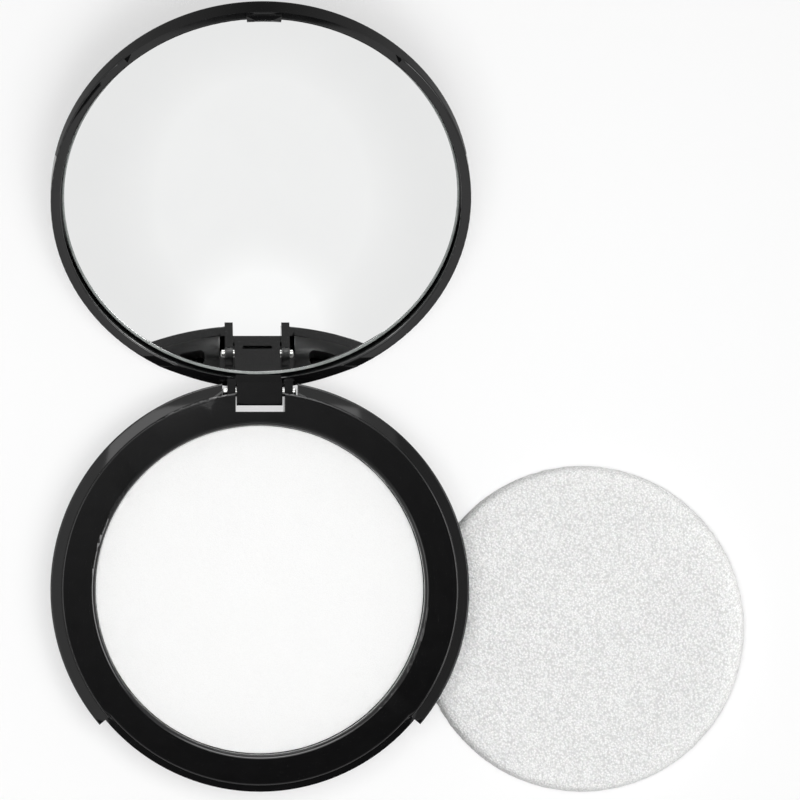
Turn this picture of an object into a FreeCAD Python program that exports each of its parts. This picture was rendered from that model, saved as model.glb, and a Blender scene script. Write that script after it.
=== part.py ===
import FreeCAD, Part
import os
import re
import Sketcher

# Open round powder compact: a bowl-shaped base with a powder well, a hinged mirror lid and a loose puff.
# Millimetres, +Z up, +Y towards the hinge, origin at the centre of the foot on the table.
# The lid and its mirror are drawn closed, as they are assembled, and then turned open about the hinge pin.

DRIVING_SIZES = {
    # Base shell
    "compact_radius": 38.0,
    "ledge_height": 15.65,
    "ledge_fall": 0.25,
    "foot_radius": 24.0,
    "flank_angle": 39.0,
    "shoulder_round": 6.4,
    "flank_wall": 1.4,
    "floor_top": 1.6,
    "support_ring_radius": 18.0,
    "support_ring_wall": 1.2,
    "seat_inner_radius": 34.9,
    "seat_depth": 1.0,
    "edge_round": 0.3,
    "foot_round": 0.8,
    "trim_room": 5.0,
    "cut_room": 1.0,
    "joint_overlap": 0.5,
    # Thumb relief at the front, where the lid's skirt hangs over the base
    "front_half_angle": 50.0,
    "front_radius": 36.6,
    "relief_floor": 10.5,
    "catch_width_angle": 11.0,
    "catch_depth": 0.45,
    "catch_drop": 0.55,
    "catch_height": 1.0,
    # Deck and well
    "deck_radius": 35.95,
    "deck_front_radius": 35.4,
    "deck_raise": 1.3,
    "deck_plate": 1.5,
    "deck_gap": 0.05,
    "well_radius": 29.85,
    "well_edge_round": 0.85,
    "well_wall": 1.0,
    "well_under": 7.9,
    "well_floor": 0.9,
    "well_corner_round": 0.6,
    # Snap tabs of the deck and their windows in the rear wall
    "tab_offset": 12.2,
    "tab_height": 10.2,
    "tab_width": 3.8,
    "tab_front": 30.3,
    "tab_thick": 1.2,
    "tab_barb": 1.6,
    "tab_root": 0.3,
    "barb_half_height": 0.66,
    "window_length": 5.4,
    "window_width": 2.2,
    "window_depth": 8.0,
    # Powder pan
    "pan_radius": 29.6,
    "pan_height": 3.4,
    "pan_sheet": 0.4,
    "pan_corner_round": 0.7,
    "glue_radius": 15.0,
    "glue_thick": 0.15,
    "powder_gap": 0.05,
    "powder_proud": 0.3,
    "powder_side_gap": 0.08,
    "powder_edge_round": 0.15,
    # Hinge
    "pin_reach": 35.83,
    "pin_drop": 5.35,
    "pin_radius": 0.8,
    "pin_length": 13.4,
    "pin_clearance": 0.06,
    "pin_chamfer": 0.2,
    "ear_radius": 2.47,
    "ear_width": 1.5,
    "ear_side_gap": 0.9,
    "ear_foot": 7.4,
    "ear_heel_reach": 0.74,
    "ear_heel_drop": 2.22,
    "notch_half": 4.45,
    "notch_front": 32.3,
    "hinge_wall": 1.1,
    "hinge_wall_lift": 1.26,
    "knuckle_radius": 2.4,
    "tongue_half": 4.17,
    "tongue_face": 1.77,
    "tongue_top": 6.9,
    "tongue_length": 6.1,
    "tongue_end_round": 0.5,
    "tongue_recess_width": 5.4,
    "tongue_recess_low": 4.6,
    "tongue_recess_high": 0.6,
    "tongue_recess_depth": 0.5,
    "rim_sweep_radius": 6.05,
    "rim_sweep_width": 40.0,
    "open_angle": 152.75,
    # Lid
    "lid_gap": 0.05,
    "lid_side": 5.6,
    "lid_rise": 1.9,
    "lid_flat_radius": 8.0,
    "lid_round": 2.2,
    "lid_land": 1.75,
    "mirror_recess": 1.75,
    "mirror_radius": 35.95,
    "mirror_thick": 1.5,
    "mirror_arris": 0.2,
    "mirror_pad_radius": 33.0,
    "mirror_pad_thick": 0.5,
    "skirt_drop": 0.5,
    "skirt_inner_radius": 36.9,
    "skirt_half_angle": 41.0,
    "hook_drop": 1.6,
    "hook_height": 0.7,
    "hook_nose_height": 0.42,
    "hook_proud": 0.5,
    "hook_inset": 0.2,
    "hook_width_angle": 9.6,
    # Puff
    "puff_radius": 29.85,
    "puff_side": 3.9,
    "puff_crown": 0.5,
    "puff_flat_radius": 8.0,
    "puff_top_round": 1.8,
    "puff_foot_round": 1.3,
    "puff_right": 59.35,
    "puff_forward": 7.5,
}

doc = FreeCAD.newDocument("PowderCompact")
sizes = doc.addObject("Spreadsheet::Sheet", "Sizes")
for row, (alias, size) in enumerate(DRIVING_SIZES.items(), start=1):
    sizes.set(f"A{row}", alias)
    sizes.set(f"B{row}", str(size))
    sizes.setAlias(f"B{row}", alias)
doc.recompute()


# Formulas of the sheet

def value(formula):
    return float(sizes.evalExpression(formula))


def in_sheet(formula):
    """Give the same formula with every size named as a cell of the sheet."""
    def cell(word):
        return "Sizes." + word.group() if word.group() in DRIVING_SIZES else word.group()
    return re.sub(r"[a-z][a-z_]+", cell, formula)


# Sketches

def plane_sketch(body, name, role, offset=None):
    """Start a sketch on one of the body's own origin planes, moved along its normal by a formula."""
    sketch = body.newObject("Sketcher::SketchObject", name)
    plane = [item for item in body.Origin.OriginFeatures if item.Role == role][0]
    sketch.AttachmentSupport = (plane, [""])
    sketch.MapMode = "FlatFace"
    if offset:
        sketch.setExpression("AttachmentOffset.Base.z", in_sheet(offset))
    return sketch


def hold_point(sketch, geometry, end, across, up):
    """Hold one point of a sketch at two formulas, measured from the sketch's origin."""
    for kind, axis, formula in (("DistanceX", -2, across), ("DistanceY", -1, up)):
        if formula == "0":
            sketch.addConstraint(Sketcher.Constraint("PointOnObject", geometry, end, axis))
        else:
            rule = Sketcher.Constraint(kind, -1, 1, geometry, end, value(formula))
            index = sketch.addConstraint(rule)
            sketch.setExpression(f"Constraints[{index}]", in_sheet(formula))


def hold_radius(sketch, geometry, radius):
    index = sketch.addConstraint(Sketcher.Constraint("Radius", geometry, value(radius)))
    sketch.setExpression(f"Constraints[{index}]", in_sheet(radius))


def left_arc(start, end, radius):
    """Make the arc that turns left on its way from start to end."""
    chord = end - start
    left = FreeCAD.Vector(-chord.y, chord.x, 0).normalize()
    centre = (start + end) * 0.5 + left * (radius ** 2 - (chord.Length / 2) ** 2) ** 0.5
    circle = Part.Circle(centre, FreeCAD.Vector(0, 0, 1), radius)
    return Part.ArcOfCircle(circle, circle.parameter(start), circle.parameter(end))


def draw_outline(sketch, corners):
    """Draw a closed outline. A corner's third entry is the radius of a left-hand arc to the next corner."""
    spots = [FreeCAD.Vector(value(corner[0]), value(corner[1]), 0) for corner in corners]
    count = len(corners)
    first = sketch.GeometryCount
    for index, corner in enumerate(corners):
        start = spots[index]
        end = spots[(index + 1) % count]
        if len(corner) == 3:
            sketch.addGeometry(left_arc(start, end, value(corner[2])))
        else:
            sketch.addGeometry(Part.LineSegment(start, end))
    for index, corner in enumerate(corners):
        following = first + (index + 1) % count
        sketch.addConstraint(Sketcher.Constraint("Coincident", first + index, 2, following, 1))
        hold_point(sketch, first + index, 1, corner[0], corner[1])
        if len(corner) == 3:
            hold_radius(sketch, first + index, corner[2])


def draw_circle(sketch, across, up, radius):
    centre = FreeCAD.Vector(value(across), value(up), 0)
    geometry = sketch.addGeometry(Part.Circle(centre, FreeCAD.Vector(0, 0, 1), value(radius)))
    hold_point(sketch, geometry, 3, across, up)
    hold_radius(sketch, geometry, radius)


def draw_box(sketch, left, low, right, high):
    draw_outline(sketch, [(left, low), (right, low), (right, high), (left, high)])


# Features

def recompute_cut(body, feature, volume):
    """Recompute, and stop if a cut took nothing away."""
    doc.recompute()
    if body.Shape.Volume > volume - 1e-3:
        raise RuntimeError(f"{feature.Label} cuts nothing from {body.Label}")


def revolve(body, name, sketch, angle=None):
    """Turn a profile about the body's upright axis, all round or evenly to both sides of its plane."""
    feature = body.newObject("PartDesign::Revolution", name)
    feature.Profile = sketch
    feature.ReferenceAxis = (sketch, ["V_Axis"])
    feature.Angle = 360.0
    if angle:
        feature.Midplane = True
        feature.setExpression("Angle", in_sheet(angle))
    doc.recompute()


def groove(body, name, sketch, angle=None):
    volume = body.Shape.Volume
    feature = body.newObject("PartDesign::Groove", name)
    feature.Profile = sketch
    feature.ReferenceAxis = (sketch, ["V_Axis"])
    feature.Angle = 360.0
    if angle:
        feature.Midplane = True
        feature.setExpression("Angle", in_sheet(angle))
    recompute_cut(body, feature, volume)


def pad(body, name, sketch, length):
    """Raise a profile evenly to both sides of its plane."""
    feature = body.newObject("PartDesign::Pad", name)
    feature.Profile = sketch
    feature.SideType = "Symmetric"
    feature.setExpression("Length", in_sheet(length))
    doc.recompute()
    return feature


def pocket(body, name, sketch, length):
    """Cut a profile evenly to both sides of its plane."""
    volume = body.Shape.Volume
    feature = body.newObject("PartDesign::Pocket", name)
    feature.Profile = sketch
    feature.SideType = "Symmetric"
    feature.setExpression("Length", in_sheet(length))
    recompute_cut(body, feature, volume)
    return feature


def mirror_across(body, name, feature):
    """Repeat a feature on the other side of the upright middle plane."""
    plane = [item for item in body.Origin.OriginFeatures if item.Role == "YZ_Plane"][0]
    twin = body.newObject("PartDesign::Mirrored", name)
    twin.Originals = [feature]
    twin.MirrorPlane = (plane, [""])
    body.Tip = twin
    doc.recompute()


def ring_edge(radius, height):
    """Choose the round edges of one radius at one height."""
    def chosen(edge):
        if edge.Degenerated or not isinstance(edge.Curve, Part.Circle):
            return False
        circle = edge.Curve
        return abs(circle.Radius - value(radius)) < 0.01 and abs(circle.Center.z - value(height)) < 0.01
    return chosen


def dress_edges(body, name, kind, size, chosen):
    """Fillet or chamfer the edges that a test chooses on the body's latest form."""
    latest = body.Tip
    feature = body.newObject("PartDesign::" + kind, name)
    edges = enumerate(latest.Shape.Edges, start=1)
    feature.Base = (latest, [f"Edge{number}" for number, edge in edges if chosen(edge)])
    feature.setExpression("Radius" if kind == "Fillet" else "Size", in_sheet(size))
    doc.recompute()


def new_body(label):
    body = doc.addObject("PartDesign::Body", "Body_" + label)
    body.Label = label
    return body


# Shared formulas

shoulder_reach = "shoulder_round * tan((90 - flank_angle) / 2)"
flank_meet = "(compact_radius - foot_radius) * tan(flank_angle)"
shoulder_low = (f"compact_radius - {shoulder_reach} * cos(flank_angle)",
                f"{flank_meet} - {shoulder_reach} * sin(flank_angle)",
                "shoulder_round")
shoulder_high = ("compact_radius", f"{flank_meet} + {shoulder_reach}")
inner_flank_foot = "foot_radius + floor_top / tan(flank_angle) - flank_wall / sin(flank_angle)"
inner_flank_top = f"floor_top + (seat_inner_radius - ({inner_flank_foot})) * tan(flank_angle)"
seat_height = "ledge_height - seat_depth"
seat_radius = "deck_radius + deck_gap"
seat_front_radius = "deck_front_radius + deck_gap"
ledge_edge_height = "ledge_height - ledge_fall"
front_arc = "2 * front_half_angle"
deck_top = "ledge_height + deck_raise"
pin_height = "ledge_height - pin_drop"
ear_outer = "notch_half + ear_width"
hinge_room = f"{ear_outer} + ear_side_gap"
well_top = "well_under + well_floor"
pan_low = f"{well_top} + glue_thick"
powder_low = f"{pan_low} + pan_sheet"
pan_top = f"{pan_low} + pan_height"
powder_top = f"{pan_top} + powder_proud"
powder_radius = "pan_radius - pan_sheet - powder_gap"
powder_brim_radius = "well_radius - powder_side_gap"
rim_low = "ledge_height + lid_gap"
mirror_low = f"{rim_low} + mirror_recess"
mirror_back = f"{mirror_low} + mirror_thick"
lid_ceiling = f"{mirror_back} + mirror_pad_thick"
lid_inner_radius = "compact_radius - lid_land"
lid_top = f"{rim_low} + lid_side + lid_rise"
through_all = f"3 * ({deck_top})"


def crown_radius(reach, rise):
    """Give the radius of an arc that leaves a flat middle smoothly and falls by rise over reach."""
    return f"(({reach}) ^ 2 + ({rise}) ^ 2) / (2 * ({rise}))"


def base_shell():
    body = new_body("base_shell")
    sketch = plane_sketch(body, "BowlProfile", "XZ_Plane")
    draw_outline(sketch, [
        ("0", "0"),
        ("foot_radius", "0"),
        shoulder_low,
        shoulder_high,
        ("compact_radius", ledge_edge_height),
        (seat_radius, "ledge_height"),
        (seat_radius, seat_height),
        ("seat_inner_radius", seat_height),
        ("seat_inner_radius", inner_flank_top),
        (inner_flank_foot, "floor_top"),
        ("support_ring_radius + support_ring_wall", "floor_top"),
        ("support_ring_radius + support_ring_wall", "well_under - deck_gap"),
        ("support_ring_radius", "well_under - deck_gap"),
        ("support_ring_radius", "floor_top"),
        ("0", "floor_top"),
    ])
    revolve(body, "Bowl", sketch)
    dress_edges(body, "FootRound", "Fillet", "foot_round", ring_edge("foot_radius", "0"))

    # Walls round the hinge recess, with their sloping foot inside the flank's wall
    sketch = plane_sketch(body, "HingeBlock", "YZ_Plane")
    block_front = "notch_front - hinge_wall"
    block_rear = "seat_inner_radius + hinge_wall / 2"
    block_top = f"{seat_height} - deck_gap"
    draw_outline(sketch, [
        (block_front, f"({block_front} - foot_radius) * tan(flank_angle) + hinge_wall_lift"),
        (block_rear, f"({block_rear} - foot_radius) * tan(flank_angle) + hinge_wall_lift"),
        (block_rear, block_top),
        (block_front, block_top),
    ])
    pad(body, "HingeWalls", sketch, f"2 * ({hinge_room} + hinge_wall)")
    sketch = plane_sketch(body, "RecessPlan", "XY_Plane")
    draw_box(sketch, f"-({hinge_room})", "notch_front", hinge_room, "compact_radius + trim_room")
    pocket(body, "HingeRecess", sketch, through_all)

    # Two ears that carry the pin, with the tongue's slot between them
    sketch = plane_sketch(body, "EarSide", "YZ_Plane")
    ear_rear = "pin_reach + ear_radius"
    draw_outline(sketch, [
        ("notch_front - hinge_wall / 2", "ear_foot"),
        ("pin_reach - ear_heel_reach", f"{pin_height} - ear_heel_drop"),
        (ear_rear, pin_height),
        (ear_rear, "ledge_height"),
        (f"{seat_radius} + deck_gap", "ledge_height"),
        (f"{seat_radius} + deck_gap", f"{seat_height} - 2 * deck_gap"),
        ("notch_front - hinge_wall / 2", f"{seat_height} - 2 * deck_gap"),
    ])
    pad(body, "EarWebs", sketch, f"2 * ({ear_outer})")
    sketch = plane_sketch(body, "EarEnd", "YZ_Plane")
    draw_circle(sketch, "pin_reach", pin_height, "ear_radius")
    pad(body, "EarKnuckles", sketch, f"2 * ({ear_outer})")
    sketch = plane_sketch(body, "SlotPlan", "XY_Plane")
    draw_box(sketch, "-notch_half", "notch_front", "notch_half", "compact_radius + trim_room")
    pocket(body, "TongueSlot", sketch, through_all)
    sketch = plane_sketch(body, "PinHole", "YZ_Plane")
    draw_circle(sketch, "pin_reach", pin_height, "pin_radius")
    pocket(body, "PinHoles", sketch, f"2 * ({ear_outer} + cut_room)")

    # The relieved front, flat and closer to the deck, and the catch for the lid's hook
    sketch = plane_sketch(body, "FrontSeatProfile", "YZ_Plane")
    draw_box(sketch, "-(front_radius + cut_room)", f"{seat_height} - joint_overlap",
             f"-({seat_front_radius})", "ledge_height")
    revolve(body, "FrontSeat", sketch, front_arc)
    sketch = plane_sketch(body, "ReliefProfile", "YZ_Plane")
    draw_box(sketch, "-(compact_radius + trim_room)", "relief_floor",
             "-front_radius", "ledge_height + cut_room")
    groove(body, "ThumbRelief", sketch, front_arc)
    sketch = plane_sketch(body, "CatchProfile", "YZ_Plane")
    draw_box(sketch, "-(front_radius + cut_room)", "ledge_height - catch_drop - catch_height",
             "-(front_radius - catch_depth)", "ledge_height - catch_drop")
    groove(body, "Catch", sketch, "catch_width_angle")

    # Windows in the rear wall for the deck's snap tabs
    sketch = plane_sketch(body, "WindowOutline", "XZ_Plane", "-(tab_front + window_depth / 2)")
    half_run = "(window_length - window_width) / 2"
    half_width = "window_width / 2"
    end_radius = f"({half_width}) * 1.001"  # a hair over, so that both arcs stay short of half a turn
    draw_outline(sketch, [
        (f"tab_offset - {half_run}", f"tab_height - {half_width}"),
        (f"tab_offset + {half_run}", f"tab_height - {half_width}", end_radius),
        (f"tab_offset + {half_run}", f"tab_height + {half_width}"),
        (f"tab_offset - {half_run}", f"tab_height + {half_width}", end_radius),
    ])
    window = pocket(body, "RightWindow", sketch, "window_depth")
    mirror_across(body, "LeftWindow", window)
    dress_edges(body, "LedgeRound", "Fillet", "edge_round", ring_edge("compact_radius", ledge_edge_height))
    return body


def pan_tray():
    body = new_body("pan_tray")
    sketch = plane_sketch(body, "TrayProfile", "XZ_Plane")
    deck_under = f"{deck_top} - deck_plate"
    draw_outline(sketch, [
        ("0", "well_under"),
        ("well_radius + well_wall", "well_under"),
        ("well_radius + well_wall", deck_under),
        ("seat_inner_radius", deck_under),
        ("seat_inner_radius", f"{seat_height} + deck_gap"),
        ("deck_radius", f"{seat_height} + deck_gap"),
        ("deck_radius", deck_top),
        ("well_radius + well_edge_round", deck_top, "well_edge_round"),
        ("well_radius", f"{deck_top} - well_edge_round"),
        ("well_radius", well_top),
        ("0", well_top),
    ])
    revolve(body, "Tray", sketch)
    dress_edges(body, "WellCorner", "Fillet", "well_corner_round",
                ring_edge("well_radius + well_wall", "well_under"))
    dress_edges(body, "DeckEdge", "Fillet", "edge_round", ring_edge("deck_radius", deck_top))
    sketch = plane_sketch(body, "FrontProfile", "YZ_Plane")
    draw_box(sketch, "-(deck_radius + cut_room)", f"{seat_height} - cut_room",
             "-deck_front_radius", f"{deck_top} + cut_room")
    groove(body, "FrontStep", sketch, front_arc)
    dress_edges(body, "FrontDeckEdge", "Fillet", "edge_round", ring_edge("deck_front_radius", deck_top))
    sketch = plane_sketch(body, "NotchPlan", "XY_Plane")
    draw_box(sketch, "-notch_half", "notch_front", "notch_half", "compact_radius")
    pocket(body, "HingeNotch", sketch, through_all)

    sketch = plane_sketch(body, "TabSide", "YZ_Plane", "tab_offset")
    tab_rear = "tab_front + tab_thick"
    draw_outline(sketch, [
        ("tab_front", "tab_height - barb_half_height"),
        (tab_rear, "tab_height - barb_half_height"),
        (f"{tab_rear} + tab_barb", "tab_height"),
        (f"{tab_rear} + tab_barb", "tab_height + barb_half_height"),
        (tab_rear, "tab_height + barb_half_height"),
        (tab_rear, f"{deck_under} + tab_root"),
        ("tab_front", f"{deck_under} + tab_root"),
    ])
    tab = pad(body, "RightTab", sketch, "tab_width")
    mirror_across(body, "LeftTab", tab)
    return body


def powder_pan():
    body = new_body("powder_pan")
    sketch = plane_sketch(body, "PanProfile", "XZ_Plane")
    draw_outline(sketch, [
        ("0", pan_low),
        ("pan_radius", pan_low),
        ("pan_radius", pan_top),
        ("pan_radius - pan_sheet", pan_top),
        ("pan_radius - pan_sheet", powder_low),
        ("0", powder_low),
    ])
    revolve(body, "Pan", sketch)
    dress_edges(body, "PanCorner", "Fillet", "pan_corner_round", ring_edge("pan_radius", pan_low))
    return body


def pressed_powder():
    body = new_body("pressed_powder")
    sketch = plane_sketch(body, "CakeProfile", "XZ_Plane")
    draw_outline(sketch, [
        ("0", f"{powder_low} + powder_gap"),
        (powder_radius, f"{powder_low} + powder_gap"),
        (powder_radius, f"{pan_top} + powder_gap"),
        (powder_brim_radius, f"{pan_top} + powder_gap"),
        (powder_brim_radius, powder_top),
        ("0", powder_top),
    ])
    revolve(body, "Cake", sketch)
    dress_edges(body, "CakeEdge", "Fillet", "powder_edge_round", ring_edge(powder_brim_radius, powder_top))
    return body


def pan_adhesive():
    body = new_body("pan_adhesive")
    sketch = plane_sketch(body, "GlueProfile", "XZ_Plane")
    draw_box(sketch, "0", well_top, "glue_radius", f"{well_top} + glue_thick")
    revolve(body, "Glue", sketch)
    return body


def hinge_pin():
    body = new_body("hinge_pin")
    sketch = plane_sketch(body, "PinSection", "YZ_Plane")
    draw_circle(sketch, "pin_reach", pin_height, "pin_radius")
    pad(body, "Pin", sketch, "pin_length")
    dress_edges(body, "PinEnds", "Chamfer", "pin_chamfer", lambda edge: isinstance(edge.Curve, Part.Circle))
    return body


def open_frame_sketch(body, name):
    """Start a sketch about the pin, upright as the tongue stands when the lid is open."""
    sketch = plane_sketch(body, name, "YZ_Plane")
    sketch.setExpression("AttachmentOffset.Base.x", in_sheet("pin_reach"))
    sketch.setExpression("AttachmentOffset.Base.y", in_sheet(pin_height))
    sketch.setExpression("AttachmentOffset.Rotation.Angle", in_sheet("open_angle"))
    return sketch


def lid_shell():
    body = new_body("lid_shell")
    sketch = plane_sketch(body, "LidProfile", "XZ_Plane")
    draw_outline(sketch, [
        ("0", lid_ceiling),
        (lid_inner_radius, lid_ceiling),
        (lid_inner_radius, rim_low),
        ("compact_radius", rim_low),
        ("compact_radius", f"{rim_low} + lid_side",
         crown_radius("compact_radius - lid_flat_radius", "lid_rise")),
        ("lid_flat_radius", lid_top),
        ("0", lid_top),
    ])
    revolve(body, "Lid", sketch)
    dress_edges(body, "LidShoulder", "Fillet", "lid_round",
                ring_edge("compact_radius", f"{rim_low} + lid_side"))
    dress_edges(body, "LandOuterEdge", "Fillet", "edge_round", ring_edge("compact_radius", rim_low))
    dress_edges(body, "LandInnerEdge", "Fillet", "edge_round", ring_edge(lid_inner_radius, rim_low))

    # Room at the rear rim for swinging past the base's ledge
    sketch = plane_sketch(body, "SweepSection", "YZ_Plane")
    draw_circle(sketch, "pin_reach", pin_height, "rim_sweep_radius")
    pocket(body, "RimSweep", sketch, "rim_sweep_width")

    # Front skirt over the thumb relief, with the longer snap hook in its middle
    sketch = plane_sketch(body, "SkirtProfile", "YZ_Plane")
    draw_box(sketch, "-compact_radius", f"{rim_low} - skirt_drop",
             "-skirt_inner_radius", f"{rim_low} + joint_overlap")
    revolve(body, "Skirt", sketch, "2 * skirt_half_angle")
    sketch = plane_sketch(body, "HookProfile", "YZ_Plane")
    hook_low = f"{rim_low} - hook_drop"
    draw_outline(sketch, [
        ("-(compact_radius - hook_inset)", hook_low),
        ("-skirt_inner_radius", hook_low),
        ("-(skirt_inner_radius - hook_proud)", f"{hook_low} + hook_nose_height"),
        ("-skirt_inner_radius", f"{hook_low} + hook_height"),
        ("-skirt_inner_radius", f"{rim_low} - skirt_drop / 2"),
        ("-(compact_radius - hook_inset)", f"{rim_low} - skirt_drop / 2"),
    ])
    revolve(body, "SnapHook", sketch, "hook_width_angle")

    # Hinge tongue: a knuckle round the pin, joined to the rear rim, square on top and cored behind when open
    sketch = plane_sketch(body, "KnuckleSection", "YZ_Plane")
    draw_circle(sketch, "pin_reach", pin_height, "knuckle_radius")
    pad(body, "Knuckle", sketch, "2 * tongue_half")
    sketch = plane_sketch(body, "WebSection", "YZ_Plane")
    draw_box(sketch, "pin_reach - knuckle_radius", pin_height, "compact_radius", f"{pin_height} + tongue_top")
    pad(body, "Web", sketch, "2 * tongue_half")
    sketch = open_frame_sketch(body, "EndSection")
    draw_outline(sketch, [
        ("-knuckle_radius", "0"),
        ("tongue_face", "0"),
        ("tongue_face", "knuckle_radius"),
        ("tongue_end_round - knuckle_radius", "knuckle_radius", "tongue_end_round"),
        ("-knuckle_radius", "knuckle_radius - tongue_end_round"),
    ])
    pad(body, "TongueEnd", sketch, "2 * tongue_half")
    sketch = open_frame_sketch(body, "FlatSection")
    draw_box(sketch, "tongue_face", "-tongue_length", "tongue_face + trim_room + knuckle_radius",
             "knuckle_radius + cut_room")
    pocket(body, "TongueFlat", sketch, "2 * tongue_half")
    sketch = open_frame_sketch(body, "CoreSection")
    draw_box(sketch, "tongue_face - tongue_recess_depth", "-tongue_recess_low",
             "tongue_face + cut_room", "tongue_recess_high")
    pocket(body, "TongueCore", sketch, "tongue_recess_width")
    sketch = plane_sketch(body, "PinBoreSection", "YZ_Plane")
    draw_circle(sketch, "pin_reach", pin_height, "pin_radius + pin_clearance")
    pocket(body, "PinBore", sketch, "2 * (tongue_half + cut_room)")
    return body


def mirror_glass():
    body = new_body("mirror_glass")
    sketch = plane_sketch(body, "GlassProfile", "XZ_Plane")
    draw_box(sketch, "0", mirror_low, "mirror_radius", mirror_back)
    revolve(body, "Glass", sketch)
    dress_edges(body, "Arris", "Chamfer", "mirror_arris", ring_edge("mirror_radius", mirror_low))
    return body


def mirror_adhesive():
    body = new_body("mirror_adhesive")
    sketch = plane_sketch(body, "PadProfile", "XZ_Plane")
    draw_box(sketch, "0", mirror_back, "mirror_pad_radius", lid_ceiling)
    revolve(body, "Pad", sketch)
    return body


def puff():
    body = new_body("puff")
    sketch = plane_sketch(body, "PuffProfile", "XZ_Plane")
    draw_outline(sketch, [
        ("0", "0"),
        ("puff_radius", "0"),
        ("puff_radius", "puff_side", crown_radius("puff_radius - puff_flat_radius", "puff_crown")),
        ("puff_flat_radius", "puff_side + puff_crown"),
        ("0", "puff_side + puff_crown"),
    ])
    revolve(body, "Sponge", sketch)
    dress_edges(body, "TopRound", "Fillet", "puff_top_round", ring_edge("puff_radius", "puff_side"))
    dress_edges(body, "FootRoundPuff", "Fillet", "puff_foot_round", ring_edge("puff_radius", "0"))
    body.setExpression("Placement.Base.x", in_sheet("puff_right"))
    body.setExpression("Placement.Base.y", in_sheet("-puff_forward"))
    return body


def swing_open(body):
    """Turn a lid piece open about the hinge pin."""
    pin = FreeCAD.Vector(0, value("pin_reach"), value(pin_height))
    turn = FreeCAD.Rotation(FreeCAD.Vector(-1, 0, 0), value("open_angle"))
    body.Placement = FreeCAD.Placement(pin - turn.multVec(pin), turn)


fixed_bodies = [base_shell(), pan_tray(), powder_pan(), pressed_powder(), pan_adhesive(), hinge_pin()]
fixed_bodies.append(puff())
lid_bodies = [lid_shell(), mirror_glass(), mirror_adhesive()]
for lid_body in lid_bodies:
    swing_open(lid_body)
doc.recompute()

for item in doc.Objects:
    if "Invalid" in item.State or "Error" in item.State:
        raise RuntimeError(f"{item.Label} failed: {item.State}")
for body in fixed_bodies + lid_bodies:
    if body.Shape.isNull() or not body.Shape.isValid() or len(body.Shape.Solids) != 1:
        raise RuntimeError(f"{body.Label} isn't one valid solid")

os.makedirs("parts", exist_ok=True)
for body in fixed_bodies + lid_bodies:
    body.Shape.exportStep(f"parts/{body.Label}.step")
    box = body.Shape.optimalBoundingBox(False)
    print(f"{body.Label}: {body.Shape.Volume:.0f} mm3, x {box.XMin:.2f} to {box.XMax:.2f}, "
          f"y {box.YMin:.2f} to {box.YMax:.2f}, z {box.ZMin:.2f} to {box.ZMax:.2f}")
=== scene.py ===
from math import cos, radians, sin

import bmesh
import bpy
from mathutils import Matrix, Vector, noise


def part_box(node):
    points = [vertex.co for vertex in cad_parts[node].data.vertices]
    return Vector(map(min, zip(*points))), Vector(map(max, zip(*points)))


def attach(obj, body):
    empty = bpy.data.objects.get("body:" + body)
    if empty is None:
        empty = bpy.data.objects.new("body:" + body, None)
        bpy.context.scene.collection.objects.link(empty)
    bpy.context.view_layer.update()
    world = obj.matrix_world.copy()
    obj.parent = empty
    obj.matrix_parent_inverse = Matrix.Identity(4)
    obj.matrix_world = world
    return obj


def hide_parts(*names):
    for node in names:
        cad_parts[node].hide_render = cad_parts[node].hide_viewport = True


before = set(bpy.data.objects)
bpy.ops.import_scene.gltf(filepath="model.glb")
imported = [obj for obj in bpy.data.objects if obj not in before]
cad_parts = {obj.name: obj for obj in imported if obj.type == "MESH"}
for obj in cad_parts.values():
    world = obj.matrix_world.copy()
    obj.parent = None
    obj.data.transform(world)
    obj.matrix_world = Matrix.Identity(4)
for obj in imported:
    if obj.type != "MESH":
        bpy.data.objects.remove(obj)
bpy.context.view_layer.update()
scene = bpy.context.scene
scene.view_settings.view_transform = "Standard"
mm = 0.001


def millimetres(place):
    return Vector(place) * mm


def linked(name, data):
    made = bpy.data.objects.new(name, data)
    scene.collection.objects.link(made)
    return made


def evaluatedMesh(piece):
    return bpy.data.meshes.new_from_object(piece.evaluated_get(bpy.context.evaluated_depsgraph_get()))


def boxMiddle(node):
    low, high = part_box(node)
    return (low + high) / 2


# Camera: nearly straight above the compact, from far away, with the hinge towards the top of the picture

cameraSettings = {
    "aim": (25.38, 34.43, 15.65),  # mm, the picture's middle on the plane of the base's ledge
    "distance": 1600.0,            # mm
    "lean": 0.045,                 # radians that the camera stands to the left of upright
    "pictureWidth": 145.12,        # mm, at the aim
    "sensor": 36.0,                # mm
    "clipEnd": 10000.0,            # mm
}


def makeCamera(settings):
    data = bpy.data.cameras.new("overheadCamera")
    data.sensor_width = settings["sensor"]
    data.lens = settings["sensor"] * settings["distance"] / settings["pictureWidth"]
    data.clip_end = settings["clipEnd"] * mm
    camera = linked("overheadCamera", data)
    away = Vector((-sin(settings["lean"]), 0, cos(settings["lean"])))
    camera.location = millimetres(settings["aim"]) + away * settings["distance"] * mm
    camera.rotation_euler.y = -settings["lean"]
    scene.camera = camera


makeCamera(cameraSettings)
print("camera made")


# Shader helpers

def addNode(tree, kind, **values):
    node = tree.nodes.new(kind)
    for name, value in values.items():
        node.inputs[name.replace("_", " ")].default_value = value
    return node


def addMath(tree, operation, *sources):
    # Each source is a number or another node's socket
    node = tree.nodes.new("ShaderNodeMath")
    node.operation = operation
    for socket, source in zip(node.inputs, sources):
        if isinstance(source, float):
            socket.default_value = source
        else:
            tree.links.new(source, socket)
    return node.outputs["Value"]


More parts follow.
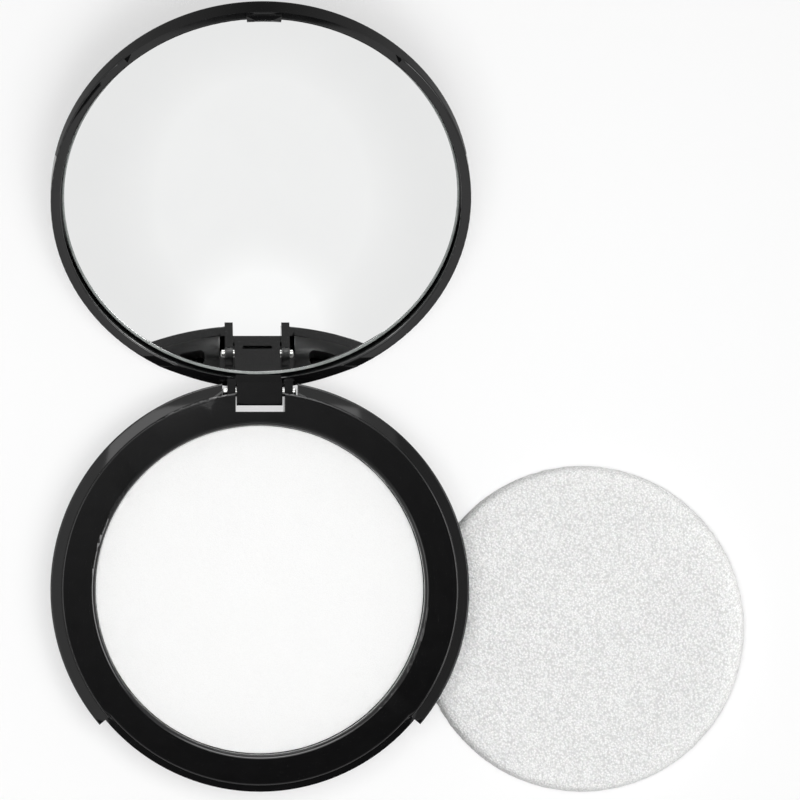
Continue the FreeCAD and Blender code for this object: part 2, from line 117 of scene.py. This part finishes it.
def newGroup(name, inputs, outputs):
    tree = bpy.data.node_groups.new(name, "ShaderNodeTree")
    for socket, kind in inputs:
        tree.interface.new_socket(socket, in_out="INPUT", socket_type=kind)
    for socket, kind in outputs:
        tree.interface.new_socket(socket, in_out="OUTPUT", socket_type=kind)
    return tree, tree.nodes.new("NodeGroupInput"), tree.nodes.new("NodeGroupOutput")


breakupSettings = {"roughness": 0.6, "from": (0.3, 0.7)}


def breakupGroup(settings):
    # Soft cloudy variation, mapped between two values
    fromLow, fromHigh = settings["from"]
    tree, entry, result = newGroup(
        "surfaceBreakup",
        [("Vector", "NodeSocketVector"), ("Scale", "NodeSocketFloat"), ("Detail", "NodeSocketFloat"),
         ("Low", "NodeSocketFloat"), ("High", "NodeSocketFloat")],
        [("Value", "NodeSocketFloat"), ("Height", "NodeSocketFloat")])
    clouds = addNode(tree, "ShaderNodeTexNoise", Roughness=settings["roughness"])
    spread = addNode(tree, "ShaderNodeMapRange", From_Min=fromLow, From_Max=fromHigh)
    for name in ("Vector", "Scale", "Detail"):
        tree.links.new(entry.outputs[name], clouds.inputs[name])
    tree.links.new(clouds.outputs["Fac"], spread.inputs["Value"])
    tree.links.new(entry.outputs["Low"], spread.inputs["To Min"])
    tree.links.new(entry.outputs["High"], spread.inputs["To Max"])
    tree.links.new(spread.outputs["Result"], result.inputs["Value"])
    tree.links.new(clouds.outputs["Fac"], result.inputs["Height"])
    return tree


grainSettings = {"detail": 3.0, "roughness": 0.65, "from": (-0.3, 0.6)}


def grainGroup(settings):
    # Packed crumbs: rounded cells broken up by fine noise
    fromLow, fromHigh = settings["from"]
    tree, entry, result = newGroup(
        "crumbGrain",
        [("Vector", "NodeSocketVector"), ("Scale", "NodeSocketFloat")],
        [("Height", "NodeSocketFloat"), ("Tint", "NodeSocketFloat")])
    cells = tree.nodes.new("ShaderNodeTexVoronoi")
    fine = addNode(tree, "ShaderNodeTexNoise", Detail=settings["detail"], Roughness=settings["roughness"])
    for node in (cells, fine):
        tree.links.new(entry.outputs["Vector"], node.inputs["Vector"])
        tree.links.new(entry.outputs["Scale"], node.inputs["Scale"])
    crumbs = addMath(tree, "SUBTRACT", fine.outputs["Fac"], cells.outputs["Distance"])
    tint = addNode(tree, "ShaderNodeMapRange", From_Min=fromLow, From_Max=fromHigh)
    tree.links.new(crumbs, tint.inputs["Value"])
    tree.links.new(crumbs, result.inputs["Height"])
    tree.links.new(tint.outputs["Result"], result.inputs["Tint"])
    return tree


surfaceBreakup = breakupGroup(breakupSettings)
crumbGrain = grainGroup(grainSettings)


def placeGroup(tree, group, vector, **values):
    node = tree.nodes.new("ShaderNodeGroup")
    node.node_tree = group
    tree.links.new(vector, node.inputs["Vector"])
    for name, value in values.items():
        node.inputs[name].default_value = value
    return node


def grey(level):
    return (level, level, level, 1.0)


polishDetail = 4.0
grainDetail = 6.0


def newMaterial(name, settings):
    # Colour and roughness wander between two values, and a fine bump sits on top
    material = bpy.data.materials.new(name)
    material.use_nodes = True
    tree = material.node_tree
    shader = tree.nodes["Principled BSDF"]
    place = tree.nodes.new("ShaderNodeTexCoord").outputs["Object"]
    shader.inputs["Metallic"].default_value = settings.get("metallic", 0.0)

    polish = placeGroup(tree, surfaceBreakup, place, Scale=settings["polishScale"], Detail=polishDetail,
                        Low=settings["roughness"][0], High=settings["roughness"][1])
    tree.links.new(polish.outputs["Value"], shader.inputs["Roughness"])

    mix = tree.nodes.new("ShaderNodeMix")
    mix.data_type = "RGBA"
    mix.inputs["A"].default_value = (*settings["colours"][0], 1.0)
    mix.inputs["B"].default_value = (*settings["colours"][1], 1.0)
    tree.links.new(mix.outputs["Result"], shader.inputs["Base Color"])
    bump = addNode(tree, "ShaderNodeBump", Strength=settings["bump"], Distance=settings["bumpDepth"] * mm)
    if settings.get("crumbs"):
        grain = placeGroup(tree, crumbGrain, place, Scale=settings["grainScale"])
        tree.links.new(grain.outputs["Tint"], mix.inputs["Factor"])
    else:
        grain = placeGroup(tree, surfaceBreakup, place, Scale=settings["grainScale"], Detail=grainDetail,
                           Low=0.0, High=1.0)
        tree.links.new(grain.outputs["Value"], mix.inputs["Factor"])
    tree.links.new(grain.outputs["Height"], bump.inputs["Height"])
    tree.links.new(bump.outputs["Normal"], shader.inputs["Normal"])
    return material


# Scales are per metre, and bump depths in mm
finishes = {
    "glossBlack": {"colours": [(0.0028, 0.0028, 0.0030), (0.0046, 0.0046, 0.0048)], "grainScale": 260.0,
                   "roughness": (0.03, 0.07), "polishScale": 90.0, "bump": 0.05, "bumpDepth": 0.004},
    "satinBlack": {"colours": [(0.008, 0.008, 0.008), (0.013, 0.013, 0.013)], "grainScale": 900.0,
                   "roughness": (0.28, 0.36), "polishScale": 300.0, "bump": 0.1, "bumpDepth": 0.006},
    "silvering": {"colours": [(0.885, 0.890, 0.888), (0.900, 0.905, 0.902)], "grainScale": 60.0,
                  "roughness": (0.0, 0.012), "polishScale": 45.0, "bump": 0.0, "bumpDepth": 0.001,
                  "metallic": 1.0},
    "glassEdge": {"colours": [(0.18, 0.20, 0.19), (0.30, 0.32, 0.31)], "grainScale": 400.0,
                  "roughness": (0.20, 0.35), "polishScale": 300.0, "bump": 0.2, "bumpDepth": 0.01},
    "pinSteel": {"colours": [(0.40, 0.40, 0.39), (0.52, 0.52, 0.51)], "grainScale": 1500.0,
                 "roughness": (0.16, 0.30), "polishScale": 700.0, "bump": 0.1, "bumpDepth": 0.004,
                 "metallic": 1.0},
    "panAluminium": {"colours": [(0.74, 0.74, 0.75), (0.82, 0.82, 0.83)], "grainScale": 1200.0,
                     "roughness": (0.28, 0.42), "polishScale": 500.0, "bump": 0.15, "bumpDepth": 0.006,
                     "metallic": 1.0},
    "pressedPowder": {"colours": [(0.90, 0.90, 0.895), (0.95, 0.95, 0.945)], "grainScale": 5200.0,
                      "roughness": (0.85, 0.98), "polishScale": 800.0, "bump": 0.35, "bumpDepth": 0.03,
                      "crumbs": True},
    "spongeFelt": {"colours": [(0.59, 0.59, 0.585), (0.93, 0.93, 0.925)], "grainScale": 2700.0,
                   "roughness": (0.88, 1.0), "polishScale": 600.0, "bump": 1.0, "bumpDepth": 0.3,
                   "crumbs": True},
    "clearGlue": {"colours": [(0.62, 0.60, 0.52), (0.72, 0.70, 0.62)], "grainScale": 700.0,
                  "roughness": (0.30, 0.55), "polishScale": 300.0, "bump": 0.3, "bumpDepth": 0.02},
    "foamPad": {"colours": [(0.62, 0.62, 0.61), (0.76, 0.76, 0.75)], "grainScale": 1800.0,
                "roughness": (0.80, 0.95), "polishScale": 500.0, "bump": 0.5, "bumpDepth": 0.05,
                "crumbs": True},
}
materials = {name: newMaterial(name, settings) for name, settings in finishes.items()}
print("finishes made:", len(materials))


# Moulded and turned pieces: welded copies of the CAD solids with every sharp edge eased

mouldedPieces = {
    "baseShell": {"node": "base_shell", "body": "base", "slot": "black_plastic", "finish": "glossBlack",
                  "ease": 0.10},
    "deckTray": {"node": "pan_tray", "body": "base", "slot": "black_plastic", "finish": "glossBlack",
                 "ease": 0.10},
    "lidShell": {"node": "lid_shell", "body": "lid", "slot": "black_plastic", "finish": "glossBlack",
                 "ease": 0.10},
    "hingePin": {"node": "hinge_pin", "body": "base", "slot": "pin_steel", "finish": "pinSteel",
                 "ease": 0.05},
    "mirrorPlate": {"node": "mirror_glass", "body": "lid", "slot": "mirror", "finish": "silvering",
                    "ease": 0.04},
    "powderPan": {"node": "powder_pan", "body": "base", "slot": "pan_aluminium", "finish": "panAluminium",
                  "ease": 0.06},
}
easeSettings = {
    "angle": radians(32),  # sharper edges than this are eased, by each piece's own width in mm
    "segments": 2,
    "faceWeight": 80,
    "weldGap": 0.0005,     # mm
}


def weldedCopy(node):
    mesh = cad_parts[node].data.copy()
    mesh.materials.clear()
    gap = easeSettings["weldGap"] * mm
    work = bmesh.new()
    work.from_mesh(mesh)
    bmesh.ops.remove_doubles(work, verts=work.verts, dist=gap)
    bmesh.ops.dissolve_degenerate(work, edges=work.edges, dist=gap)
    bmesh.ops.recalc_face_normals(work, faces=work.faces)
    for face in work.faces:
        face.smooth = True
    for edge in work.edges:
        edge.smooth = len(edge.link_faces) == 2 and edge.calc_face_angle() < easeSettings["angle"]
    work.to_mesh(mesh)
    work.free()
    return mesh


def mouldedPiece(name, settings):
    piece = linked(name, weldedCopy(settings["node"]))
    piece.data.name = name
    piece.data.materials.append(materials[settings["finish"]])
    ease = piece.modifiers.new("easedEdges", "BEVEL")
    ease.width = settings["ease"] * mm
    ease.segments = easeSettings["segments"]
    ease.limit_method = "ANGLE"
    ease.angle_limit = easeSettings["angle"]
    ease.use_clamp_overlap = True
    shading = piece.modifiers.new("evenShading", "WEIGHTED_NORMAL")
    shading.weight = easeSettings["faceWeight"]
    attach(piece, settings["body"])
    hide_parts(settings["node"])
    return piece


moulded = {name: mouldedPiece(name, settings) for name, settings in mouldedPieces.items()}
print("moulded pieces made:", len(moulded))


# The bowl's flank and foot are satin, and the faces that show from above are gloss

undersideSettings = {"steepest": -0.2}  # a face looks down where its normal's upward part is below this


def satinUnderside(piece, settings):
    piece.data.materials.append(materials["satinBlack"])
    satinSlot = len(piece.data.materials) - 1
    for face in piece.data.polygons:
        if face.normal.z < settings["steepest"]:
            face.material_index = satinSlot


satinUnderside(moulded["baseShell"], undersideSettings)


# Mirror: silvered behind its glass, so the face lies a little deeper inside a bare ground edge

mirrorSettings = {
    "edgeWidth": 0.2,     # mm
    "silverDepth": 0.55,  # mm
    "facing": 0.99,       # cosine of how far a face of the silvering may turn from straight out of the lid
}


def splitMirror(piece, settings):
    piece.data.materials.append(materials["glassEdge"])
    silverSlot, edgeSlot = range(len(piece.data.materials))
    facing = (boxMiddle("mirror_glass") - boxMiddle("mirror_adhesive")).normalized()
    work = bmesh.new()
    work.from_mesh(piece.data)
    silver = [face for face in work.faces if face.normal.dot(facing) > settings["facing"]]
    bmesh.ops.inset_region(work, faces=silver, use_even_offset=True, thickness=settings["edgeWidth"] * mm,
                           depth=-settings["silverDepth"] * mm)
    for face in work.faces:
        face.material_index = edgeSlot
    for face in silver:
        face.material_index = silverSlot
    for edge in {edge for face in silver for edge in face.edges}:
        edge.smooth = all(face.material_index == silverSlot for face in edge.link_faces)
    work.to_mesh(piece.data)
    work.free()


splitMirror(moulded["mirrorPlate"], mirrorSettings)


# Hidden layers keep their CAD solids

hiddenLayers = {"pan_adhesive": "clearGlue", "mirror_adhesive": "foamPad"}
for node, finish in hiddenLayers.items():
    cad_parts[node].data.materials[0] = materials[finish]
print("underside, mirror and hidden layers finished")


# Turned discs: a rounded profile with an overhanging brim, swept round the upright axis

discSettings = {
    "cornerSteps": 10,
    "axisRadius": 1e-7,  # m, of the ring that the profile is swept round
    "axisMerge": 1e-6,   # m, closes the hole that this leaves
    "grainDetail": 2.0,
}


def byIndex(tree, kind, sources):
    # One value for each point, in their order, and zero where the source is None
    switch = tree.nodes.new("GeometryNodeIndexSwitch")
    switch.data_type = kind
    while len(switch.index_switch_items) < len(sources):
        switch.index_switch_items.new()
    index = tree.nodes.new("GeometryNodeInputIndex")
    tree.links.new(index.outputs["Index"], switch.inputs["Index"])
    for number, source in enumerate(sources):
        if source:
            tree.links.new(source, switch.inputs[number + 1])
    return switch.outputs["Output"]


def profileCorner(tree, across, up):
    # The sweep turns the profile's Y axis downwards
    spot = tree.nodes.new("ShaderNodeCombineXYZ")
    if across:
        tree.links.new(across, spot.inputs["X"])
    tree.links.new(addMath(tree, "MULTIPLY", up, -1.0), spot.inputs["Y"])
    return spot.outputs["Vector"]


def discProfile(tree, entry):
    # From the axis over the top, brim and body to the axis again at the foot
    brim, body = entry["Brim Radius"], entry["Body Radius"]
    high, brimLow, low = entry["High"], entry["Brim Low"], entry["Low"]
    spots = [(None, high), (brim, high), (brim, brimLow), (body, brimLow), (body, low), (None, low)]
    rounds = [None, entry["Top Round"], None, None, entry["Foot Round"], None]
    corners = [profileCorner(tree, across, up) for across, up in spots]
    points = addNode(tree, "GeometryNodePoints", Count=len(corners))
    tree.links.new(byIndex(tree, "VECTOR", corners), points.inputs["Position"])
    outline = tree.nodes.new("GeometryNodePointsToCurves")
    tree.links.new(points.outputs["Points"], outline.inputs["Points"])
    rounded = tree.nodes.new("GeometryNodeFilletCurve")
    rounded.mode = "POLY"
    rounded.inputs["Count"].default_value = discSettings["cornerSteps"]
    tree.links.new(outline.outputs["Curves"], rounded.inputs["Curve"])
    tree.links.new(byIndex(tree, "FLOAT", rounds), rounded.inputs["Radius"])
    return rounded.outputs["Curve"]


def cutInSteps(tree, curve, step):
    # Each straight run is cut into steps, and its corners stay
    link = tree.links.new
    position = tree.nodes.new("GeometryNodeInputPosition").outputs["Position"]
    neighbour = addNode(tree, "GeometryNodeOffsetPointInCurve", Offset=1)
    nextSpot = tree.nodes.new("GeometryNodeFieldAtIndex")
    nextSpot.data_type = "FLOAT_VECTOR"
    link(position, nextSpot.inputs["Value"])
    link(neighbour.outputs["Point Index"], nextSpot.inputs["Index"])
    run = tree.nodes.new("ShaderNodeVectorMath")
    run.operation = "DISTANCE"
    link(position, run.inputs[0])
    link(nextSpot.outputs["Value"], run.inputs[1])
    stepped = tree.nodes.new("GeometryNodeSubdivideCurve")
    link(curve, stepped.inputs["Curve"])
    link(addMath(tree, "DIVIDE", run.outputs["Value"], step), stepped.inputs["Cuts"])
    return stepped.outputs["Curve"]


def sweptRound(tree, profile, segments):
    ring = addNode(tree, "GeometryNodeCurvePrimitiveCircle", Radius=discSettings["axisRadius"])
    tree.links.new(segments, ring.inputs["Resolution"])
    swept = tree.nodes.new("GeometryNodeCurveToMesh")
    tree.links.new(ring.outputs["Curve"], swept.inputs["Curve"])
    tree.links.new(profile, swept.inputs["Profile Curve"])
    closed = addNode(tree, "GeometryNodeMergeByDistance", Distance=discSettings["axisMerge"])
    tree.links.new(swept.outputs["Mesh"], closed.inputs["Geometry"])
    return closed.outputs["Geometry"]


def grainLift(tree, entry):
    # Noise about the surface, half the grain's height to either side
    grain = addNode(tree, "ShaderNodeTexNoise", Detail=discSettings["grainDetail"])
    grain.noise_dimensions = "4D"
    tree.links.new(entry["Grain Scale"], grain.inputs["Scale"])
    tree.links.new(entry["Seed"], grain.inputs["W"])
    bottom = addMath(tree, "MULTIPLY", entry["Grain Height"], -0.5)
    height = addMath(tree, "MULTIPLY_ADD", grain.outputs["Fac"], entry["Grain Height"], bottom)
    normal = tree.nodes.new("GeometryNodeInputNormal").outputs["Normal"]
    lift = tree.nodes.new("ShaderNodeVectorMath")
    lift.operation = "SCALE"
    tree.links.new(normal, lift.inputs[0])
    tree.links.new(height, lift.inputs["Scale"])
    return lift.outputs["Vector"]


def turnedDiscTree():
    tree = bpy.data.node_groups.new("turnedDisc", "GeometryNodeTree")
    for name in ("Brim Radius", "Body Radius", "Low", "Brim Low", "High", "Top Round", "Foot Round", "Step",
                 "Grain Height", "Grain Scale", "Seed"):
        tree.interface.new_socket(name, in_out="INPUT", socket_type="NodeSocketFloat")
    tree.interface.new_socket("Segments", in_out="INPUT", socket_type="NodeSocketInt")
    tree.interface.new_socket("Finish", in_out="INPUT", socket_type="NodeSocketMaterial")
    tree.interface.new_socket("Geometry", in_out="OUTPUT", socket_type="NodeSocketGeometry")
    entry = tree.nodes.new("NodeGroupInput").outputs
    link = tree.links.new
    profile = cutInSteps(tree, discProfile(tree, entry), entry["Step"])
    moved = tree.nodes.new("GeometryNodeSetPosition")
    link(sweptRound(tree, profile, entry["Segments"]), moved.inputs["Geometry"])
    link(grainLift(tree, entry), moved.inputs["Offset"])
    soft = tree.nodes.new("GeometryNodeSetShadeSmooth")
    link(moved.outputs["Geometry"], soft.inputs["Geometry"])
    real = tree.nodes.new("GeometryNodeRealizeInstances")
    link(soft.outputs["Geometry"], real.inputs["Geometry"])
    finish = tree.nodes.new("GeometryNodeSetMaterial")
    link(real.outputs["Geometry"], finish.inputs["Geometry"])
    link(entry["Finish"], finish.inputs["Material"])
    link(finish.outputs["Geometry"], tree.nodes.new("NodeGroupOutput").inputs["Geometry"])
    return tree


turnedDisc = turnedDiscTree()


def outwards(mesh):
    work = bmesh.new()
    work.from_mesh(mesh)
    bmesh.ops.recalc_face_normals(work, faces=work.faces)
    work.to_mesh(mesh)
    work.free()


def turnedMesh(name, inputs):
    host = linked(name + "Host", bpy.data.meshes.new(name + "Host"))
    modifier = host.modifiers.new("turnedDisc", "NODES")
    modifier.node_group = turnedDisc
    sockets = {item.name: item.identifier for item in turnedDisc.interface.items_tree
               if item.in_out == "INPUT"}
    for socket, value in inputs.items():
        modifier[sockets[socket]] = value
    mesh = evaluatedMesh(host)
    bpy.data.objects.remove(host)
    mesh.name = name
    outwards(mesh)
    return mesh


# Pressed powder

powderSettings = {
    "brimThick": 0.25,     # mm, the part that is pressed out over the pan's rim
    "rimClear": 0.05,      # mm, inside the pan
    "panSheet": 0.4,       # mm
    "edgeRound": 0.15,     # mm
    "ringStep": 0.45,      # mm
    "segments": 320,
    "grainHeight": 0.03,   # mm
    "grainScale": 1400.0,  # per metre
    "seed": 4.0,
}


def makePowder(settings):
    low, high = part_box("pressed_powder")
    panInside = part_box("powder_pan")[1].x - (settings["panSheet"] + settings["rimClear"]) * mm
    mesh = turnedMesh("powderCake", {
        "Brim Radius": high.x, "Body Radius": panInside, "Low": low.z,
        "Brim Low": high.z - settings["brimThick"] * mm, "High": high.z,
        "Top Round": settings["edgeRound"] * mm, "Foot Round": settings["edgeRound"] * mm,
        "Step": settings["ringStep"] * mm,
        "Segments": settings["segments"], "Grain Height": settings["grainHeight"] * mm,
        "Grain Scale": settings["grainScale"], "Seed": settings["seed"],
        "Finish": materials["pressedPowder"]})
    cake = linked("powderCake", mesh)
    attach(cake, "base")
    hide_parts("pressed_powder")


makePowder(powderSettings)
print("powder made")


# Puff: a stuffed disc, blown up a little as cloth at ten times its size, then felted

puffSettings = {
    "shrink": 0.25,        # mm taken off top and foot before it swells
    "topRound": 0.6,       # mm
    "footRound": 0.6,      # mm
    "taper": 1.1,          # mm that the top is smaller than the foot, all round
    "brimStep": 0.01,      # mm that the lower half is smaller than the upper one before it swells
    "segments": 220,
    "cell": 0.8,           # mm, of the cloth
    "relaxFactor": 0.5,
    "relaxRounds": 3,
    "simScale": 10.0,
    "pressure": 3.0,
    "quality": 6,          # of the cloth's steps
    "frames": 16,
    "cap": 0.3,            # mm that a point may move
    "feltHeight": 0.07,    # mm
    "feltScale": 2300.0,   # per metre
    "fill": 0.9,
}


def applyModifiers(piece):
    mesh = evaluatedMesh(piece)
    piece.modifiers.clear()
    piece.data = mesh


def evenSkin(skin, settings):
    remesh = skin.modifiers.new("evenCells", "REMESH")
    remesh.mode = "VOXEL"
    remesh.voxel_size = settings["cell"] * mm * settings["simScale"]
    applyModifiers(skin)
    smooth = skin.modifiers.new("relaxed", "SMOOTH")
    smooth.factor = settings["relaxFactor"]
    smooth.iterations = settings["relaxRounds"]
    applyModifiers(skin)


def swell(skin, settings):
    cloth = skin.modifiers.new("cloth", "CLOTH")
    cloth.settings.use_pressure = True
    cloth.settings.uniform_pressure_force = settings["pressure"]
    cloth.settings.effector_weights.gravity = 0.0
    cloth.settings.quality = settings["quality"]
    cloth.point_cache.frame_start = 1
    cloth.point_cache.frame_end = settings["frames"]
    for step in range(1, settings["frames"] + 1):
        scene.frame_set(step)
    swollen = evaluatedMesh(skin)
    skin.modifiers.clear()
    cap = settings["cap"] * mm * settings["simScale"]
    for vertex, after in zip(skin.data.vertices, swollen.vertices):
        move = after.co - vertex.co
        if move.length > cap:
            move.length = cap
        vertex.co += move
    scene.frame_set(1)


def stuffedDisc(settings, form):
    for vertex in form.vertices:
        vertex.co *= settings["simScale"]
    skin = linked("puffPad", form)
    evenSkin(skin, settings)
    swell(skin, settings)
    for vertex in skin.data.vertices:
        vertex.co /= settings["simScale"]
    return skin


def feltPuff(mesh, settings, radius, thick):
    # Draws the top in, brings the disc to its radius and thickness, and roughens its skin
    heights = [vertex.co.z for vertex in mesh.vertices]
    foot = min(heights)
    rise = max(heights) - foot
    normals = [vertex.normal.copy() for vertex in mesh.vertices]
    for vertex in mesh.vertices:
        share = (vertex.co.z - foot) / rise
        vertex.co.xy *= 1.0 - share * settings["taper"] * mm / radius
        vertex.co.z = share * thick
    reach = max(vertex.co.xy.length for vertex in mesh.vertices)
    for vertex, normal in zip(mesh.vertices, normals):
        felt = noise.noise(vertex.co * settings["feltScale"])
        vertex.co.xy *= radius / reach
        vertex.co += normal * (felt * settings["feltHeight"] * mm)
        vertex.co.z = max(vertex.co.z, 0.0)


def makePuff(settings):
    low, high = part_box("puff")
    middle = boxMiddle("puff")
    shrink = settings["shrink"] * mm
    radius = (high.x - low.x) / 2
    form = turnedMesh("puffForm", {
        "Brim Radius": radius, "Body Radius": radius - settings["brimStep"] * mm,
        "Low": shrink, "Brim Low": middle.z, "High": high.z - shrink,
        "Top Round": settings["topRound"] * mm, "Foot Round": settings["footRound"] * mm,
        "Step": settings["cell"] * mm / 2, "Segments": settings["segments"],
        "Finish": materials["spongeFelt"]})
    puff = stuffedDisc(settings, form)
    finer = puff.modifiers.new("finer", "SUBSURF")
    finer.levels = finer.render_levels = 1
    applyModifiers(puff)
    mesh = puff.data
    mesh.name = "puffPad"
    feltPuff(mesh, settings, radius, high.z)
    for vertex in mesh.vertices:
        vertex.co.xy += middle.xy
    mesh.materials.clear()
    mesh.materials.append(materials["spongeFelt"])
    for face in mesh.polygons:
        face.use_smooth = True
    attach(puff, "puff")
    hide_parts("puff")
    return puff


puffPad = makePuff(puffSettings)
print("puff made")


# Studio: pale floor, soft lamps for matt surfaces, and cards that only gloss can see

def raySorts(tree):
    # 1 for rays that reach the eye straight or through glass, and 1 for rays that gloss sends out
    path = tree.nodes.new("ShaderNodeLightPath").outputs
    direct = addMath(tree, "MAXIMUM", path["Is Camera Ray"], path["Is Transmission Ray"])
    return direct, path["Is Glossy Ray"]


worldSettings = {"ambient": 0.24, "seen": 0.95, "inGloss": 0.75}


def makeWorld(settings):
    world = bpy.data.worlds.new("studioSky")
    scene.world = world
    world.use_nodes = True
    tree = world.node_tree
    direct, glossy = raySorts(tree)
    ambient = settings["ambient"]
    plain = addMath(tree, "MULTIPLY_ADD", direct, settings["seen"] - ambient, ambient)
    level = addMath(tree, "MULTIPLY_ADD", glossy, settings["inGloss"] - ambient, plain)
    sky = tree.nodes["Background"]
    sky.inputs["Color"].default_value = grey(1.0)
    tree.links.new(level, sky.inputs["Strength"])


floorSettings = {
    "half": 3000.0,  # mm
    "colour": 0.38,
    "glow": 0.62,
    "glowInGloss": 0.40,
}


def flatMesh(name, halfWide, halfDeep):
    mesh = bpy.data.meshes.new(name)
    corners = [(-1, -1), (1, -1), (1, 1), (-1, 1)]
    mesh.from_pydata([(x * halfWide * mm, y * halfDeep * mm, 0) for x, y in corners], [], [(0, 1, 2, 3)])
    return mesh


def bareMaterial(name):
    material = bpy.data.materials.new(name)
    material.use_nodes = True
    tree = material.node_tree
    tree.nodes.remove(tree.nodes["Principled BSDF"])
    return material, tree


def makeFloor(settings):
    floor = linked("studioFloor", flatMesh("studioFloor", settings["half"], settings["half"]))
    material, tree = bareMaterial("studioFloor")
    matt = addNode(tree, "ShaderNodeBsdfDiffuse", Color=grey(settings["colour"]))
    glow = addNode(tree, "ShaderNodeEmission", Color=grey(1.0))
    both = tree.nodes.new("ShaderNodeAddShader")
    direct, glossy = raySorts(tree)
    plain = addMath(tree, "MULTIPLY", direct, settings["glow"])
    level = addMath(tree, "MULTIPLY_ADD", glossy, settings["glowInGloss"], plain)
    tree.links.new(level, glow.inputs["Strength"])
    tree.links.new(matt.outputs["BSDF"], both.inputs[0])
    tree.links.new(glow.outputs["Emission"], both.inputs[1])
    tree.links.new(both.outputs["Shader"], tree.nodes["Material Output"].inputs["Surface"])
    floor.data.materials.append(material)


# Places and sizes of lamps and cards are in mm, and turns in degrees
lamps = {
    "rightKey": {"place": (70, -15, 480), "size": 160, "watts": 0.77},
    "topSoft": {"place": (-20, 5, 380), "size": 130, "watts": 0.67},
    # Low lights from the right that only the puff takes, to bring out its grain and its edge
    "puffRear": {"place": (637, 682, 57), "size": 100, "watts": 5.4, "only": puffPad},
    "puffFront": {"place": (637, -696, 57), "size": 100, "watts": 5.4, "only": puffPad},
}
lampAim = (20, 20, 5)


def makeLamp(name, settings):
    data = bpy.data.lights.new(name, "AREA")
    data.shape = "SQUARE"
    data.size = settings["size"] * mm
    data.energy = settings["watts"]
    lamp = linked(name, data)
    lamp.location = millimetres(settings["place"])
    aim = millimetres(lampAim) - lamp.location
    lamp.rotation_euler = aim.to_track_quat("-Z", "Y").to_euler()
    lamp.visible_glossy = False
    if "only" in settings:
        lit = bpy.data.collections.new(name)
        lit.objects.link(settings["only"])
        lamp.light_linking.receiver_collection = lit


# Each card has a plain level and soft spots on it: place, reach, the share that counts as full, and gain
cards = {
    # What the flat deck reflects: dim, and brighter towards the hinge and the left
    "overheadCard": {"place": (6, -8, 450), "turn": (0, 0), "half": (72, 66), "level": 0.01,
                     "spots": [((-40, 90), (190, 190), 1.0, 0.66)]},
    # What the land's inner wall shows by way of the mirror
    "lidPanel": {"place": (-8, 92, 450), "turn": (0, 0), "half": (100, 44), "level": 2.5, "spots": []},
    # What the open mirror reflects: pale, brighter in the middle and brightest low down, with a dark end
    "frontCard": {"place": (0, -235, 194), "turn": (54.5, 0), "half": (160, 84), "level": 0.893,
                  "spots": [((10.5, 44), (39, 44), 0.16, 0.074), ((10.5, 14), (24, 24), 0.2, 0.10)]},
    "frontFlag": {"place": (0, -157, 303), "turn": (54.5, 0), "half": (160, 50), "level": 0.02,
                  "spots": []},
    # Bright panels that draw thin lines along rounded edges
    "rearPanel": {"place": (0, 344, 491), "turn": (-35, 0), "half": (200, 110), "level": 5.0,
                  "spots": [((0, 0), (300, 300), 1.0, 3.0)]},
    "rightPanel": {"place": (364, 0, 491), "turn": (0, 35), "half": (110, 200), "level": 5.0,
                   "spots": [((0, 0), (300, 300), 1.0, 2.0)]},
    "leftPanel": {"place": (-364, 0, 491), "turn": (0, -35), "half": (110, 200), "level": 2.0,
                  "spots": [((0, 0), (300, 300), 1.0, 1.0)]},
    # Dimmer strip that the right side of the sloping ledge reflects
    "rightFlag": {"place": (168, 0, 450), "turn": (0, 0), "half": (46, 150), "level": 0.34, "spots": []},
    # Dark card just above the floor behind the lid, seen only in gloss: a painted reflection of shaded
    # floor for the lid's outer wall
    "rearShadeReflectionCard": {"place": (0, 172, 0.5), "turn": (0, 0), "half": (150, 92), "level": 0.2,
                  "spots": [((0, 0), (75, 300), 1.0, -0.14)]},
}


def cardLevel(tree, settings):
    place = tree.nodes.new("ShaderNodeTexCoord").outputs["Object"]
    total = settings["level"]
    for (across, along), (wide, deep), full, gain in settings["spots"]:
        mapping = tree.nodes.new("ShaderNodeMapping")
        mapping.vector_type = "TEXTURE"
        mapping.inputs["Location"].default_value = (across * mm, along * mm, 0)
        mapping.inputs["Scale"].default_value = (wide * mm, deep * mm, 1.0)
        spot = tree.nodes.new("ShaderNodeTexGradient")
        spot.gradient_type = "QUADRATIC_SPHERE"
        share = addNode(tree, "ShaderNodeMapRange", From_Max=full)
        tree.links.new(place, mapping.inputs["Vector"])
        tree.links.new(mapping.outputs["Vector"], spot.inputs["Vector"])
        tree.links.new(spot.outputs["Fac"], share.inputs["Value"])
        total = addMath(tree, "MULTIPLY_ADD", share.outputs["Result"], gain, total)
    return total


def makeCard(name, settings):
    card = linked(name, flatMesh(name, *settings["half"]))
    card.location = millimetres(settings["place"])
    card.rotation_euler = [radians(turn) for turn in (*settings["turn"], 0)]
    material, tree = bareMaterial(name)
    glow = addNode(tree, "ShaderNodeEmission", Color=grey(1.0), Strength=settings["level"])
    if settings["spots"]:
        tree.links.new(cardLevel(tree, settings), glow.inputs["Strength"])
    tree.links.new(glow.outputs["Emission"], tree.nodes["Material Output"].inputs["Surface"])
    card.data.materials.append(material)
    card.visible_camera = False
    card.visible_diffuse = False
    card.visible_shadow = False


makeWorld(worldSettings)
makeFloor(floorSettings)
for name, settings in lamps.items():
    makeLamp(name, settings)
for name, settings in cards.items():
    makeCard(name, settings)
print("studio made")
